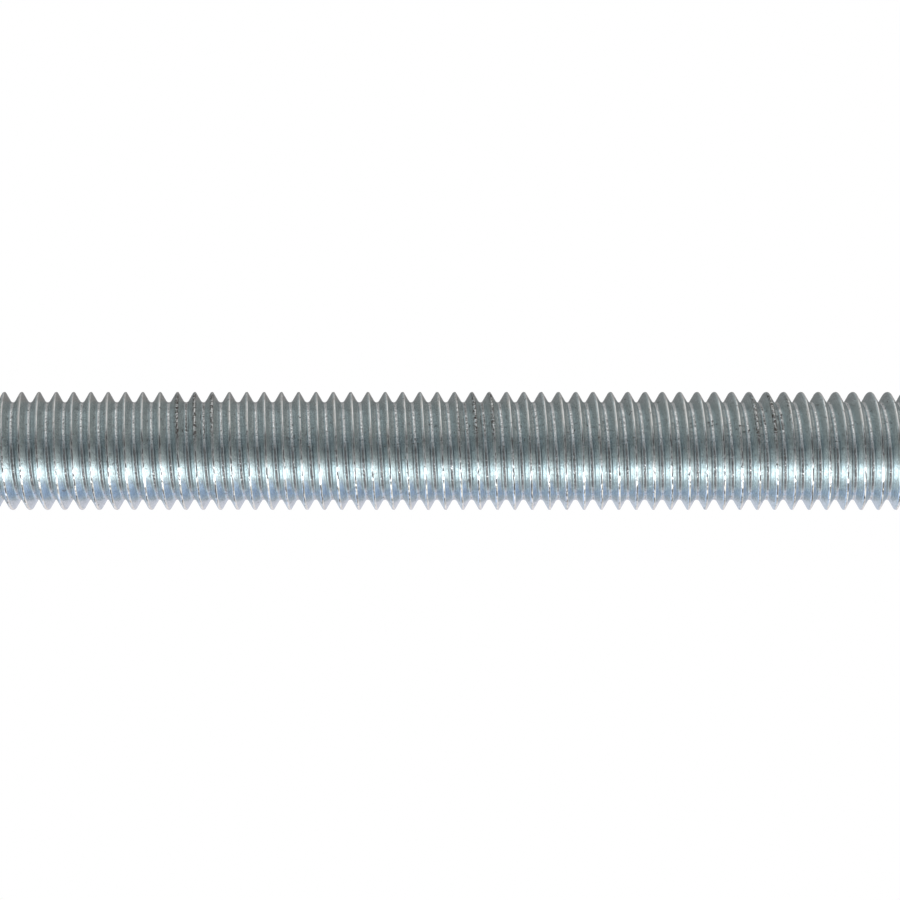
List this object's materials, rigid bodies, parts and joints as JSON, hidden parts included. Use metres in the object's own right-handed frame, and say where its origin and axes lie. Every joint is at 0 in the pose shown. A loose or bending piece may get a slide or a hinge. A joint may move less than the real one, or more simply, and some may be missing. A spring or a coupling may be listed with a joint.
{
  "type": "threaded rod",
  "caption": "Straight round steel rod with a metric screw thread from end to end, cut square and chamfered at both ends, zinc plated.",
  "frame": {"origin": "middle of the lower end face, on which the rod stands", "axes": "+Z along the rod's axis, from the lower end to the upper end; +X and +Y are any two directions square to it"},
  "size_m": [0.012, 0.012, 0.1],
  "materials": {
    "zinc_plated_steel": "bright zinc plating with a bluish tint, semi-gloss, slightly cloudy"
  },
  "bodies": {
    "root": {"threaded_rod": "zinc_plated_steel"}
  },
  "joints": []
}
